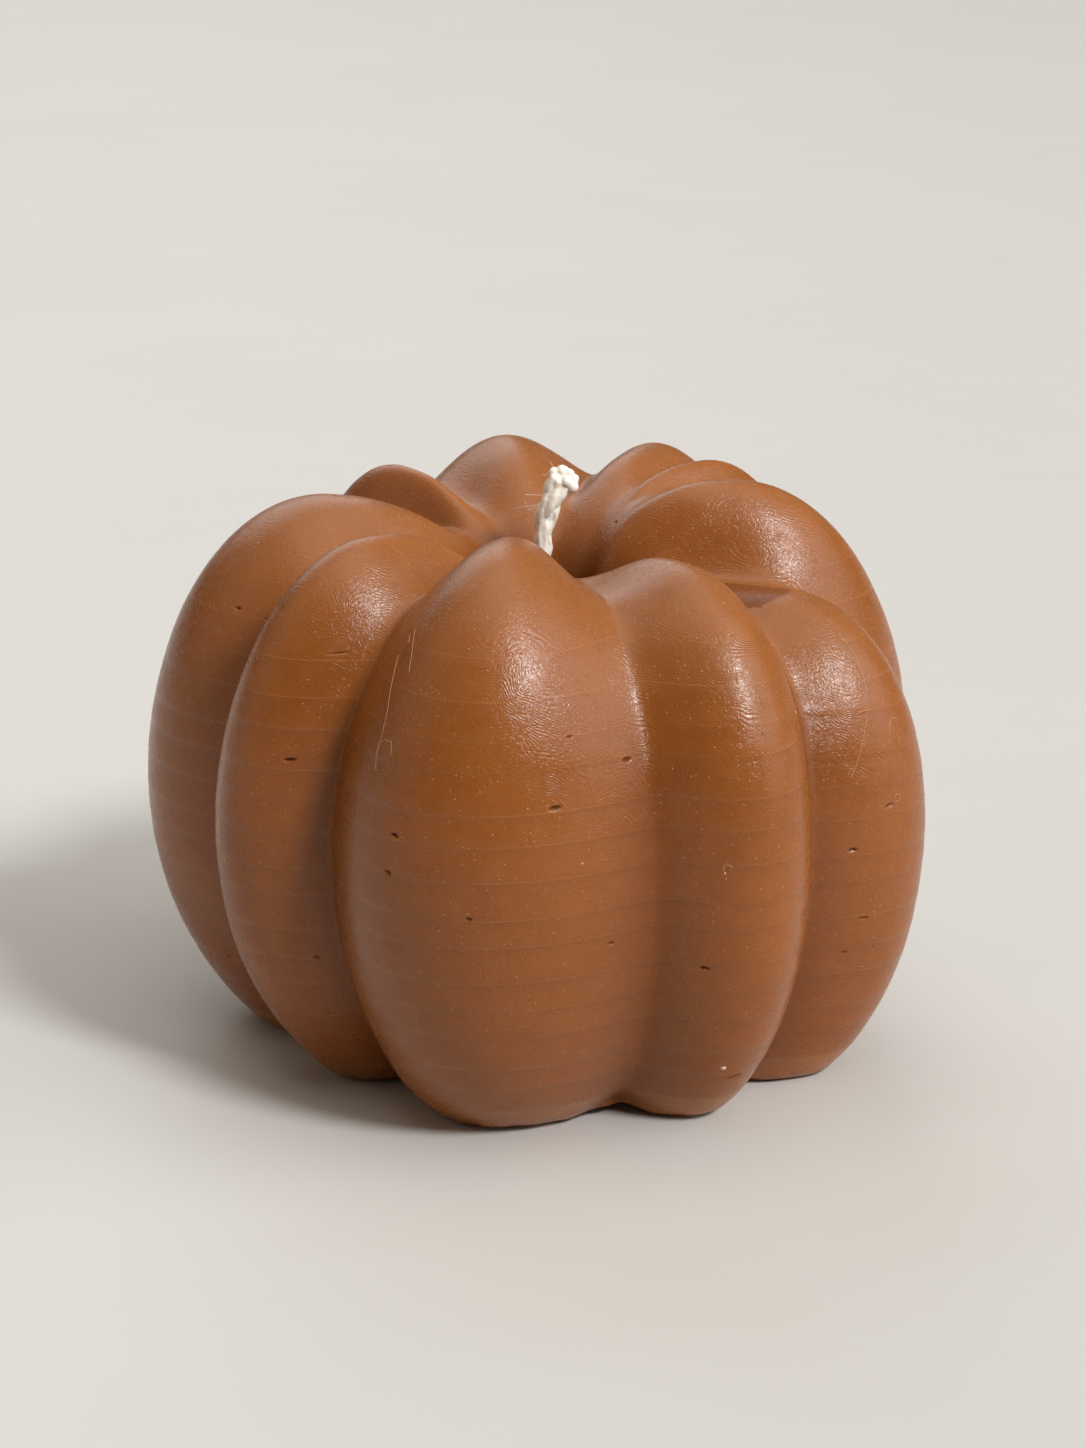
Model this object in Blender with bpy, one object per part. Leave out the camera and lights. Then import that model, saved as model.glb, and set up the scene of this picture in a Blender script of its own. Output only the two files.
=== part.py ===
"""Pumpkin shaped moulded wax candle with a plaited cotton wick.

Units are metres, +Z is up, and the origin lies on the table under the middle of the
candle's outline. The front lobe faces -Y.

The wax is one casting: ten unequal lobes round a deep central well, a flat underside,
and a narrow bore down the middle for the wick. Every lobe is described by the heights
and radii of its crest. The groove between two lobes takes the mean of their sizes,
less a groove depth, and the surface runs from groove to crest and back to the next
groove along a rounded arch.
"""

import math
from collections import namedtuple

import bmesh
import bpy
from mathutils import Matrix, Vector

MM = 0.001

# The well and the wick stand a little off the middle of the lobed outline
AXIS_X = 1.6 * MM
AXIS_Y = 0.6 * MM

# One row for each lobe, anticlockwise seen from above, starting with the front one.
# Width is in degrees round the axis, and the next sizes are millimetres on the crest. Fall
# is how far the crest drops from the crown to the well's rim. Groove is the share of the
# full groove depth before the lobe, lean is how many degrees that groove swings round on
# its way to the crown, and roundness says how wide its bottom is.
Lobe = namedtuple("Lobe", "name width belly belly_z crown crown_z foot fall groove lean roundness")
LOBES = (
    Lobe("front", 56.5, 43.5, 29.0, 24.0, 61.0, 30.0, 4.0, 1.2, 5.0, 0.2),
    Lobe("front_right", 30.5, 43.0, 29.0, 25.0, 58.1, 31.0, 4.0, 0.9, -2.5, 0.5),
    Lobe("right", 38.0, 42.8, 28.0, 28.0, 52.5, 33.0, 1.0, 1.0, 5.0, 0.35),
    Lobe("back_right", 39.5, 40.9, 30.0, 20.0, 61.0, 31.5, 0.0, 1.0, -4.0, 0.25),
    Lobe("back_right_small", 13.0, 40.0, 30.0, 22.0, 61.1, 29.0, 1.0, 0.4, -3.0, 0.35),
    Lobe("back_right_inner", 27.0, 41.0, 30.0, 24.0, 61.3, 29.0, 2.0, 0.42, -3.0, 0.4),
    Lobe("back", 46.0, 42.0, 30.0, 24.0, 61.7, 29.0, 4.0, 0.8, 2.0, 0.4),
    Lobe("back_left", 22.0, 41.5, 30.0, 24.0, 59.6, 29.0, 3.0, 0.8, 2.0, 0.3),
    Lobe("left", 55.5, 44.3, 27.0, 24.0, 59.4, 32.5, 2.5, 1.0, -2.0, 0.25),
    Lobe("front_left", 32.0, 40.0, 29.0, 23.0, 59.3, 27.0, 3.0, 1.2, 2.0, 0.2),
)
FIRST_GROOVE = -39.5

# Full depth of a groove below the lobes beside it
GROOVE_BELLY = 6.0
GROOVE_FOOT = 6.0
GROOVE_CROWN = 2.0
GROOVE_CROWN_Z = 5.0
GROOVE_FALL = 3.5

# Arch of a lobe between its grooves: below 1 it is fuller than a cosine, and at the crown
# the grooves are rounder than in the flank
LOBE_FULLNESS = 0.8
CROWN_ROUNDNESS = 0.9

# How far the curve handles of a meridian reach, as shares of its spans
FOOT_OUT = 0.55
FOOT_UP = 0.2
BELLY_DOWN = 0.45
BELLY_UP = 0.5
CROWN_OUT = 0.6
CROWN_IN = 0.4

# Well, bore and flat underside
WELL_FLOOR_Z = 44.0
WELL_FLOOR_RADIUS = 3.5
WELL_RIM_RADIUS = 6.0
BORE_RADIUS = 1.7
UNDERSIDE_RING = 14.0

# Mesh density: degrees between columns, and rings in each span of a meridian
COLUMN_STEP = 3.6
FEWEST_COLUMNS = 6
RINGS_FOOT = 10
RINGS_SHOULDER = 11
RINGS_WELL = 10

# Wick: a stiff stub of three strands plaited flat, fused with a round core in the bore
WICK_PATH = (
    (0.0, 0.0, 0.6),
    (0.0, 0.0, 36.0),
    (-0.1, 0.0, 43.0),
    (-0.6, 0.0, 49.5),
    (-0.4, 0.0, 55.0),
    (0.8, 0.0, 59.5),
    (2.0, 0.0, 62.7),
)
CORE_RADIUS = 1.1
CORE_TOP_Z = 42.5
SPINE_RADIUS = 0.8
STRAND_RADIUS = 0.58
STRAND_START_Z = 41.0
STRAND_STEP = 0.6
PLAIT_HALF_WIDTH = 0.75
PLAIT_HALF_DEPTH = 0.3
PLAIT_PITCH = 5.6
PLAIT_TURN = 18.0
FLARE_LENGTH = 2.0
FLARE = 0.4
CUT_SLANT = 0.5

# Colours are linear
WAX_COLOUR = (0.184, 0.056, 0.018, 1.0)
WAX_ROUGHNESS = 0.42
COTTON_COLOUR = (0.66, 0.58, 0.47, 1.0)
COTTON_ROUGHNESS = 0.9


def remove_all_objects():
    for old in list(bpy.data.objects):
        bpy.data.objects.remove(old, do_unlink=True)


def new_collection(name):
    collection = bpy.data.collections.new(name)
    bpy.context.scene.collection.children.link(collection)
    return collection


def new_material(name, colour, roughness):
    material = bpy.data.materials.new(name)
    material.use_nodes = True
    shader = material.node_tree.nodes["Principled BSDF"]
    shader.inputs["Base Color"].default_value = colour
    shader.inputs["Roughness"].default_value = roughness
    shader.inputs["Metallic"].default_value = 0.0
    return material


def smoothstep(x):
    x = min(max(x, 0.0), 1.0)
    return x * x * (3.0 - 2.0 * x)


def bezier(a, b, c, d, t):
    """Point at t on the cubic curve with ends a and d and handles b and c."""
    s = 1.0 - t
    weights = (s * s * s, 3.0 * s * s * t, 3.0 * s * t * t, t * t * t)
    return tuple(sum(w * p[i] for w, p in zip(weights, (a, b, c, d))) for i in (0, 1))


def crest_sizes(lobe):
    return (lobe.belly, lobe.belly_z, lobe.crown, lobe.crown_z, lobe.foot, lobe.fall)


def groove_sizes(index):
    """Sizes of the groove before a lobe: the mean of both neighbours, less its depth."""
    lobe = LOBES[index % len(LOBES)]
    before = LOBES[index % len(LOBES) - 1]
    depths = (GROOVE_BELLY, 0.0, GROOVE_CROWN, GROOVE_CROWN_Z, GROOVE_FOOT, GROOVE_FALL)
    pairs = zip(crest_sizes(lobe), crest_sizes(before), depths)
    return tuple((a + b) / 2.0 - lobe.groove * depth for a, b, depth in pairs)


def arch(across, roundness):
    """Height of a lobe above its grooves, 0 to 1, for across from -1 to 1."""
    full = max(math.cos(math.pi * across / 2.0), 0.0) ** LOBE_FULLNESS
    return (math.hypot(full, roundness) - roundness) / (math.hypot(1.0, roundness) - roundness)


def surface_columns():
    """Azimuth, lean and meridian sizes of every column round the casting."""
    columns = []
    start = FIRST_GROOVE
    for index, lobe in enumerate(LOBES):
        steps = max(FEWEST_COLUMNS, round(lobe.width / COLUMN_STEP))
        left = groove_sizes(index)
        right = groove_sizes(index + 1)
        crest = crest_sizes(lobe)
        following = LOBES[(index + 1) % len(LOBES)]
        for step in range(steps):
            share = step / steps
            mix = smoothstep(share)
            roundness = lobe.roundness + (following.roundness - lobe.roundness) * mix
            low = arch(2.0 * share - 1.0, roundness)
            high = arch(2.0 * share - 1.0, roundness + CROWN_ROUNDNESS)
            heights = (low, low, high, high, low, high)
            groove = [a + (b - a) * mix for a, b in zip(left, right)]
            sizes = [g + (c - g) * height for g, c, height in zip(groove, crest, heights)]
            lean = lobe.lean + (following.lean - lobe.lean) * share
            columns.append((start + lobe.width * share, lean, sizes))
        start += lobe.width
    return columns


def meridian(sizes):
    """Radius, height and share of the lean, from the foot up and over into the well."""
    belly, belly_z, crown, crown_z, foot, fall = sizes
    out = belly - foot
    over = belly - crown
    foot_span = (
        (foot, 0.0),
        (foot + FOOT_OUT * out, FOOT_UP * belly_z),
        (belly, (1.0 - BELLY_DOWN) * belly_z),
        (belly, belly_z),
    )
    shoulder_span = (
        (belly, belly_z),
        (belly, belly_z + BELLY_UP * (crown_z - belly_z)),
        (crown + CROWN_OUT * over, crown_z),
        (crown, crown_z),
    )
    well_span = (
        (crown, crown_z),
        (crown - CROWN_IN * (crown - WELL_FLOOR_RADIUS), crown_z),
        (WELL_RIM_RADIUS, crown_z - fall),
        (WELL_FLOOR_RADIUS, WELL_FLOOR_Z),
    )
    points = []
    for i in range(RINGS_FOOT):
        points.append((*bezier(*foot_span, i / RINGS_FOOT), 0.0))
    for i in range(RINGS_SHOULDER):
        share = i / RINGS_SHOULDER
        points.append((*bezier(*shoulder_span, share), smoothstep(share)))
    for i in range(RINGS_WELL + 1):
        points.append((*bezier(*well_span, i / RINGS_WELL), 1.0))
    return points


def wax_body(collection, material):
    """Loft of lobed rings: underside, flank, crown, well, and back down the bore."""
    mesh = bmesh.new()
    grid = []
    for azimuth, lean, sizes in surface_columns():
        underside = [(BORE_RADIUS, 0.0, 0.0), (UNDERSIDE_RING, 0.0, 0.0)]
        profile = [*underside, *meridian(sizes), (BORE_RADIUS, WELL_FLOOR_Z, 1.0)]
        column = []
        for radius, height, turned in profile:
            angle = math.radians(azimuth + lean * turned)
            x = AXIS_X + radius * MM * math.sin(angle)
            y = AXIS_Y - radius * MM * math.cos(angle)
            column.append(mesh.verts.new((x, y, height * MM)))
        grid.append(column)
    for near, far in zip(grid, grid[1:] + grid[:1]):
        for ring in range(len(near)):
            above = (ring + 1) % len(near)
            mesh.faces.new((near[ring], far[ring], far[above], near[above]))
    bmesh.ops.recalc_face_normals(mesh, faces=mesh.faces)
    data = bpy.data.meshes.new("wax_body")
    mesh.to_mesh(data)
    mesh.free()
    data.shade_smooth()
    data.set_sharp_from_angle(angle=math.radians(30.0))
    data.materials.append(material)
    body = bpy.data.objects.new("wax_body", data)
    collection.objects.link(body)
    return body


def wick_point(z):
    """Middle of the wick at a height, on a smooth curve through its route."""
    route = [Vector(p) for p in WICK_PATH]
    last = len(route) - 2
    span = 0
    while span < last and route[span + 1].z < z:
        span += 1
    a = route[span]
    b = route[span + 1]
    before = route[span - 1] if span else a
    after = route[span + 2] if span < last else b
    t = (z - a.z) / (b.z - a.z)
    slope_a = (b.x - before.x) / (b.z - before.z) * (b.z - a.z)
    slope_b = (after.x - a.x) / (after.z - a.z) * (b.z - a.z)
    x = (
        (2 * t**3 - 3 * t**2 + 1) * a.x
        + (t**3 - 2 * t**2 + t) * slope_a
        + (3 * t**2 - 2 * t**3) * b.x
        + (t**3 - t**2) * slope_b
    )
    return Vector((x, 0.0, z))


def tube(name, points, radii, resolution, collection):
    """Closed round tube through points given in millimetres from the wick's axis."""
    curve = bpy.data.curves.new(name, "CURVE")
    curve.dimensions = "3D"
    curve.bevel_depth = MM
    curve.bevel_resolution = resolution
    curve.use_fill_caps = True
    spline = curve.splines.new("POLY")
    spline.points.add(len(points) - 1)
    for target, point, radius in zip(spline.points, points, radii):
        place = Vector((AXIS_X, AXIS_Y, 0.0)) + point * MM
        target.co = (*place, 1.0)
        target.radius = radius
    guide = bpy.data.objects.new(name + "_curve", curve)
    collection.objects.link(guide)
    bpy.context.view_layer.update()
    graph = bpy.context.evaluated_depsgraph_get()
    data = bpy.data.meshes.new_from_object(guide.evaluated_get(graph))
    mesh = bmesh.new()
    mesh.from_mesh(data)
    bmesh.ops.remove_doubles(mesh, verts=mesh.verts, dist=0.001 * MM)
    bmesh.ops.recalc_face_normals(mesh, faces=mesh.faces)
    mesh.to_mesh(data)
    mesh.free()
    piece = bpy.data.objects.new(name, data)
    piece.matrix_world = guide.matrix_world
    collection.objects.link(piece)
    bpy.data.objects.remove(guide, do_unlink=True)
    return piece


def strand_points(number):
    """Route and thickness of one strand, weaving between the edges of the plait."""
    top = WICK_PATH[-1][2]
    turned = Matrix.Rotation(math.radians(PLAIT_TURN), 3, "Z")
    count = round((top - STRAND_START_Z) / STRAND_STEP)
    points = []
    radii = []
    for i in range(count + 1):
        z = STRAND_START_Z + (top - STRAND_START_Z) * i / count
        phase = 2.0 * math.pi * (z / PLAIT_PITCH + number / 3.0)
        spread = 1.0 + FLARE * smoothstep(1.0 - (top - z) / FLARE_LENGTH)
        across = spread * PLAIT_HALF_WIDTH * math.sin(phase)
        deep = spread * PLAIT_HALF_DEPTH * math.sin(2.0 * phase)
        offset = turned @ Vector((across, deep, 0.0))
        offset.z = -CUT_SLANT * offset.x * smoothstep(1.0 - (top - z) / FLARE_LENGTH)
        points.append(wick_point(z) + offset)
        radii.append(STRAND_RADIUS * spread)
    return points, radii


def wick(collection, material):
    """Core in the bore and three plaited strands, fused into one piece."""
    repeats = new_collection("wick_strands")
    for number in range(3):
        points, radii = strand_points(number)
        tube(f"strand_{number + 1}", points, radii, 1, repeats)
    spine_heights = [STRAND_START_Z - 1.0 + 2.0 * i for i in range(11)]
    spine = [wick_point(z) for z in spine_heights]
    tube("spine", spine, [SPINE_RADIUS] * len(spine), 1, repeats)
    core = [wick_point(z) for z in (WICK_PATH[0][2], 20.0, 36.0, CORE_TOP_Z)]
    piece = tube("wick", core, [CORE_RADIUS] * len(core), 3, collection)
    join = piece.modifiers.new("fuse_strands", "BOOLEAN")
    join.operation = "UNION"
    join.solver = "MANIFOLD"
    join.operand_type = "COLLECTION"
    join.collection = repeats
    bpy.context.view_layer.update()
    graph = bpy.context.evaluated_depsgraph_get()
    data = bpy.data.meshes.new_from_object(piece.evaluated_get(graph))
    piece.modifiers.clear()
    piece.data = data
    for used in list(repeats.objects):
        bpy.data.objects.remove(used, do_unlink=True)
    bpy.data.collections.remove(repeats)
    data.name = "wick"
    data.materials.clear()
    data.materials.append(material)
    data.shade_smooth()
    data.set_sharp_from_angle(angle=math.radians(50.0))
    return piece


def build():
    remove_all_objects()
    candle = new_collection("pumpkin_candle")
    wax = new_material("caramel_wax", WAX_COLOUR, WAX_ROUGHNESS)
    cotton = new_material("cotton_wick", COTTON_COLOUR, COTTON_ROUGHNESS)
    wax_body(candle, wax)
    wick(candle, cotton)


build()
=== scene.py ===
"""Looks of the pumpkin shaped wax candle: fine wax casting, plaited wick, light and camera.

Sizes named here in millimetres are the solids' own, and MM turns them into metres.
"""

import math

import bmesh
import bpy
import numpy as np
from mathutils import Matrix, Vector, noise
from mathutils.bvhtree import BVHTree


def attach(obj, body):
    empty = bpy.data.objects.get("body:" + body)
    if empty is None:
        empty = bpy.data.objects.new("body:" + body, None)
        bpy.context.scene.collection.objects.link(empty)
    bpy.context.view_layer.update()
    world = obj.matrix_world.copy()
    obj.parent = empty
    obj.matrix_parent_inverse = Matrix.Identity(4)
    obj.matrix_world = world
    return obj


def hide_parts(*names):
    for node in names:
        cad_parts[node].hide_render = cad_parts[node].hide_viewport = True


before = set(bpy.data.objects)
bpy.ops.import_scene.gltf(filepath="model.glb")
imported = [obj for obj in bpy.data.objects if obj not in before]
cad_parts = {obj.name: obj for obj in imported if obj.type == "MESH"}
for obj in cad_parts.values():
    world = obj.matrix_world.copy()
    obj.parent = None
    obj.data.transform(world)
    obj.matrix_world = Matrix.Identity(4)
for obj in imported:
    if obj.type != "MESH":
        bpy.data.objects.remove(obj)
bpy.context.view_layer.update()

MM = 0.001
SEED = 7

# The lobes of the casting, as in the part: width in degrees, then millimetres on the crest
# (belly radius and height, crown radius and height, foot radius, fall to the well's rim),
# then the depth share, the lean towards the crown and the roundness of the groove before it,
# which is softer here before the front right lobe
AXIS_X = 1.6
AXIS_Y = 0.6
LOBES = {
    "front": (56.5, 43.5, 29.0, 24.0, 61.0, 30.0, 4.0, 1.2, 5.0, 0.2),
    "front_right": (30.5, 43.0, 29.0, 25.0, 58.1, 31.0, 4.0, 0.9, -2.5, 0.8),
    "right": (38.0, 42.8, 28.0, 28.0, 52.5, 33.0, 1.0, 1.0, 5.0, 0.35),
    "back_right": (39.5, 40.9, 30.0, 20.0, 61.0, 31.5, 0.0, 1.0, -4.0, 0.25),
    "back_right_small": (13.0, 40.0, 30.0, 22.0, 61.1, 29.0, 1.0, 0.4, -3.0, 0.35),
    "back_right_inner": (27.0, 41.0, 30.0, 24.0, 61.3, 29.0, 2.0, 0.42, -3.0, 0.4),
    "back": (46.0, 42.0, 30.0, 24.0, 61.7, 29.0, 4.0, 0.8, 2.0, 0.4),
    "back_left": (22.0, 41.5, 30.0, 24.0, 59.6, 29.0, 3.0, 0.8, 2.0, 0.3),
    "left": (55.5, 44.3, 27.0, 24.0, 59.4, 32.5, 2.5, 1.0, -2.0, 0.25),
    "front_left": (32.0, 40.0, 29.0, 23.0, 59.3, 27.0, 3.0, 1.2, 2.0, 0.2),
}
FIRST_GROOVE = -39.5
GROOVE_DEPTHS = (6.0, 0.0, 2.0, 5.0, 6.0, 3.5)
LOBE_FULLNESS = 0.8
CROWN_ROUNDNESS = 0.9
FOOT_OUT, FOOT_UP, BELLY_DOWN, BELLY_UP = 0.55, 0.2, 0.45, 0.5
CROWN_OUT, CROWN_IN = 0.6, 0.4
WELL_FLOOR_Z, WELL_FLOOR_RADIUS, WELL_RIM_RADIUS = 44.0, 3.5, 6.0

# Mesh of the casting: columns round it, and rings in the flank, the crown and the well
COLUMNS = 420
FLANK_TOP_Z = 46.0
FLANK_STEP = 0.62
CROWN_RINGS = 88
MERIDIAN_SAMPLES = 260

# Lines that the rising wax left: level steps in the flank
LINE_LOWEST = 3.4
LINE_STEP = 3.5
LINE_SHIFT = 0.35
LINE_HALF_WIDTH = 0.05
LINE_DEPTH = 0.03
LINE_WAVE = 0.22
LINES_FADE_Z = 51.0
LINES_FADE = 4.0
WAVE_FADE = 4.0

# Foot of the casting: rounded edge, and a thin lip of wax in the grooves
EDGE_HEIGHT = 1.2
EDGE_RADIUS = 0.9
LIP_TOP = 1.1
LIP_REACH = 1.2
GROOVE_LIFT = 0.9
LIFT_HEIGHT = 4.0
FOOT_WANDER = 0.35
WANDER_HEIGHT = 2.5
FLANGE_HEIGHT = 0.5
# Flanges of wax at the foot: azimuth, half width in degrees, reach
FLANGES = (
    (-47.0, 5.0, 0.8),
    (-17.0, 3.0, 0.5),
    (-12.0, 1.5, 0.35),
    (23.0, 2.5, 0.4),
    (64.0, 4.0, 0.4),
)
UNDERSIDE_RINGS = (0.97, 0.9, 0.75, 0.55, 0.35, 0.18)

# Meniscus of wax round the wick on the well's floor
MENISCUS_RISE = 1.2
MENISCUS_RADIUS = 1.05

# Melting together of the grooves past the crown: columns, and where along the crown's path
MELT_COLUMNS = 9.0
MELT_START = 0.52
MELT_SPAN = 0.2

# Painted shade: darker colour low in the well, and less so in the grooves
WELL_SHADE_Z = 57.0
WELL_SHADE_FALL = 9.0
GROOVE_SHADE = 0.55
GROOVE_SHADE_Z = 38.0
GROOVE_SHADE_FADE = 12.0

# Unevenness of the hand-poured casting
SWELL = 0.16
SWELL_SIZE = 14.0
RIPPLE = 0.035
RIPPLE_SIZE = 3.2

# Moulding pits: azimuth from the front in degrees, place up the casting, length, width and
# depth in mm, then the tilt in degrees
PITS = {
    "front_left_high": (-45.1, 39.0, 1.7, 0.55, 0.45, 6.0),
    "front_left_crack": (-41.5, 49.6, 2.6, 0.2, 0.3, 5.0),
    "front_line_left": (-20.8, 35.5, 1.3, 0.55, 0.45, -8.0),
    "front_low_left": (-21.7, 31.6, 1.0, 0.55, 0.4, -12.0),
    "front_middle": (-10.0, 28.1, 0.9, 0.45, 0.35, -5.0),
    "front_right_of_middle": (1.2, 38.8, 1.6, 0.6, 0.5, 6.0),
    "front_high": (3.4, 45.2, 0.8, 0.4, 0.3, 0.0),
    "front_edge": (12.6, 42.1, 1.2, 0.6, 0.4, 5.0),
    "front_low_right": (9.5, 23.9, 1.0, 0.45, 0.4, 0.0),
    "front_right_low": (23.5, 20.5, 1.3, 0.45, 0.4, -3.0),
    "right_middle": (53.4, 28.5, 1.3, 0.45, 0.45, 0.0),
    "right_lower": (55.9, 20.7, 1.4, 0.4, 0.4, 0.0),
    "right_low": (54.1, 16.9, 1.0, 0.35, 0.3, 0.0),
    "right_high": (59.0, 32.6, 1.3, 0.5, 0.35, 14.0),
    "right_groove_low": (40.5, 16.4, 1.2, 0.4, 0.35, 0.0),
    "right_foot_nick": (31.5, 6.6, 2.2, 0.5, 0.5, 16.0),
    "left_high": (-80.0, 49.5, 0.9, 0.55, 0.3, 0.0),
    "left_crown": (-62.0, 56.5, 0.6, 0.5, 0.25, 0.0),
}
RANDOM_PITS = 26
PIT_REACH = 1.5
PIT_RIM = 0.07
REFINE_CUTS = 3
RAY_START = 80.0

# Hair-thin strings of wax that lie on the casting: azimuth and height along each
THREADS = {
    "front_long": ((-26.0, 51.2), (-25.5, 48.6), (-25.0, 46.6), (-25.2, 44.6), (-25.7, 42.6)),
    "front_short": ((-23.6, 53.8), (-22.4, 52.1), (-21.9, 50.4)),
    "front_loop": (
        (-25.5, 40.9),
        (-25.8, 42.1),
        (-25.7, 43.3),
        (-24.4, 44.0),
        (-22.9, 44.0),
        (-22.7, 42.8),
    ),
    "right_long": (
        (62.5, 49.8),
        (62.0, 47.8),
        (61.3, 45.8),
        (60.0, 43.8),
        (58.5, 41.6),
        (57.0, 39.6),
        (55.6, 37.7),
        (54.1, 36.0),
    ),
    "right_curl": ((64.0, 41.0), (62.6, 41.2), (61.6, 40.4), (61.4, 39.4)),
    "right_ring": ((60.1, 33.2), (60.4, 33.6), (60.9, 33.6), (61.1, 33.2), (60.8, 32.8), (60.2, 32.9)),
    "right_hook": ((25.2, 31.0), (25.1, 31.5), (25.5, 31.8), (26.0, 31.7), (26.2, 31.4)),
    "front_ring": ((-24.9, 52.8), (-24.7, 53.1), (-24.3, 53.0), (-24.3, 52.6), (-24.8, 52.5)),
}
THREAD_RADIUS = 0.034
THREAD_SAMPLES = 60

# Pale crumbs of wax: azimuth, height, then half length, half height and half thickness
CRUMBS = {
    "front_chip": (29.0, 8.2, 0.32, 0.22, 0.12),
    "right_speck": (25.3, 30.9, 0.09, 0.12, 0.05),
    "right_flake": (42.6, 44.5, 0.16, 0.12, 0.06),
    "front_grain": (5.0, 33.0, 0.09, 0.08, 0.04),
    "left_grain": (-56.0, 27.0, 0.1, 0.08, 0.04),
    "foot_nub": (-38.0, 1.3, 0.45, 0.35, 0.4),
    "foot_nub_low": (-39.5, 0.7, 0.35, 0.3, 0.4),
}

# Pale bead in the well: x, y and radius
WELL_BEAD = (6.4, -1.5, 0.24)

# Painted shade at the level lines: how much darker the colour is just under each line, where the step
# above overhangs
STEP_SHADE_SHARE = 0.46

# Fine pattern of the wax: turns across a whorl, ridges that drift upwards, specks, pinholes
WHORLS = 15.0
RIDGES_PER_METRE = 2500.0
SPECKS_PER_METRE = 1700.0
HOLES_PER_METRE = 330.0

# Colours of the wax, and of what lies in it
WAX_COLOURS = {
    "deep": (0.246, 0.072, 0.0110, 1.0),
    "plain": (0.274, 0.081, 0.0130, 1.0),
    "mottle": (0.308, 0.098, 0.0175, 1.0),
    "speck": (0.62, 0.38, 0.22, 1.0),
    # Painted shade inside the pinholes
    "pinhole": (0.09, 0.025, 0.008, 1.0),
    # Painted shade inside the pits
    "pit": (0.11, 0.03, 0.006, 1.0),
    # Painted shade just under each level line
    "painted_step_shade": (0.225, 0.066, 0.011, 1.0),
    # Painted highlight: the thin paler line on the lip just above each step
    "line": (0.42, 0.165, 0.048, 1.0),
    # Painted shade low in the well and in the grooves
    "well": (0.11, 0.027, 0.004, 1.0),
    # Painted sheen on the up-facing wax
    "painted_sheen": (0.42, 0.19, 0.085, 1.0),
    "crumb": (0.66, 0.46, 0.32, 1.0),
    "thread": (0.50, 0.26, 0.13, 1.0),
}

# Wick, from its bottom to its tip
WICK_PATH = (
    (0.0, 0.0, 0.6),
    (0.0, 0.0, 36.0),
    (-0.1, 0.0, 43.0),
    (-0.5, 0.0, 49.5),
    (-0.3, 0.0, 55.3),
    (0.05, 0.0, 58.1),
    (0.65, 0.0, 59.9),
    (1.45, 0.0, 61.4),
    (1.85, 0.0, 62.6),
)
WICK_BOTTOM_Z = 0.6
WICK_TAPER = ((44.0, 0.9), (55.0, 0.9), (58.0, 1.06), (60.0, 1.24), (61.3, 1.38), (62.6, 1.2))
CORE_RADIUS = 1.05
STRAND_RADIUS = 0.80
FILL_RADIUS = 0.85
PLAIT_HALF_WIDTH = 0.44
PLAIT_HALF_DEPTH = 0.24
PLAIT_PITCH = 10.5
PLAIT_PHASE = 0.1
PLAIT_TURN = 48.0
STRAND_STEP = 0.12
STRAND_SIDES = 48
YARNS = 5
YARN_RELIEF = 0.16
YARN_TWIST = 0.5

# Cut end: lumps of spread strands (from the wick's tip, right, towards the back, up; radius)
LUMPS = (
    (-0.95, 0.0, 0.3, 0.6),
    (-0.15, 0.0, 0.45, 0.66),
    (0.65, 0.1, 0.1, 0.62),
    (1.1, 0.0, -0.45, 0.6),
    (0.95, -0.3, -1.15, 0.72),
    (0.0, 0.45, 0.25, 0.7),
    (-0.6, -0.6, -0.35, 0.6),
    (0.3, -0.75, -0.55, 0.62),
)

# Hollow between the lumps: its place from the wick's tip, its reach and its depth
HOLLOW = (-0.4, -1.05, 0.05, 0.34, 0.3)
FUSE_VOXEL = 0.078
FUSE_SMOOTHING = 5
WICK_UNEVEN = 0.06
FIBRES = 18
FIBRE_RADIUS = 0.016

# Camera
LENS = 85.0
SENSOR = 36.0
CAMERA_DISTANCE = 372.0
CAMERA_ELEVATION = 17.0
CAMERA_TARGET = (1.3, 0.6, 34.9)

# Light
KEY_AZIMUTH = 44.0
KEY_ELEVATION = 41.0
KEY_SPREAD = 12.0
KEY_STRENGTH = 2.4
KEY_COLOUR = (0.99, 1.0, 1.0)

# Softboxes: azimuth, elevation, distance and size in metres, power in watts and colour
SOFTBOXES = {
    "overhead": (40.0, 85.0, 2.6, 2.6, 30.0, (1.0, 0.95, 0.87)),
    "right": (78.0, 28.0, 2.2, 1.8, 23.0, (1.0, 0.99, 0.95)),
    "left": (-85.0, 25.0, 2.2, 1.8, 5.5, (1.0, 0.78, 0.56)),
    "back": (-160.0, 36.0, 3.2, 2.4, 27.0, (1.0, 1.0, 1.0)),
}
WORLD_COLOUR = (1.0, 0.9, 0.77, 1.0)
WORLD_STRENGTH = 0.09
FLOOR_SIZE = 6.0


def smoothstep(x):
    x = np.clip(x, 0.0, 1.0)
    return x * x * (3.0 - 2.0 * x)


def bezier(points, t):
    """Point at t on the cubic curve whose four points are arrays with x and y last."""
    a, b, c, d = points
    s = 1.0 - t
    return s**3 * a + 3.0 * s * s * t * b + 3.0 * s * t * t * c + t**3 * d


def crest_table():
    return np.array([row[1:7] for row in LOBES.values()])


def groove_table():
    """Sizes of the groove before each lobe."""
    crests = crest_table()
    share = np.array([row[7] for row in LOBES.values()])
    mean = (crests + np.roll(crests, 1, axis=0)) / 2.0
    return mean - share[:, None] * np.array(GROOVE_DEPTHS)


def arch(across, roundness):
    full = np.maximum(np.cos(np.pi * across / 2.0), 0.0) ** LOBE_FULLNESS
    soft = np.hypot(full, roundness) - roundness
    return soft / (np.hypot(1.0, roundness) - roundness)


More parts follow.
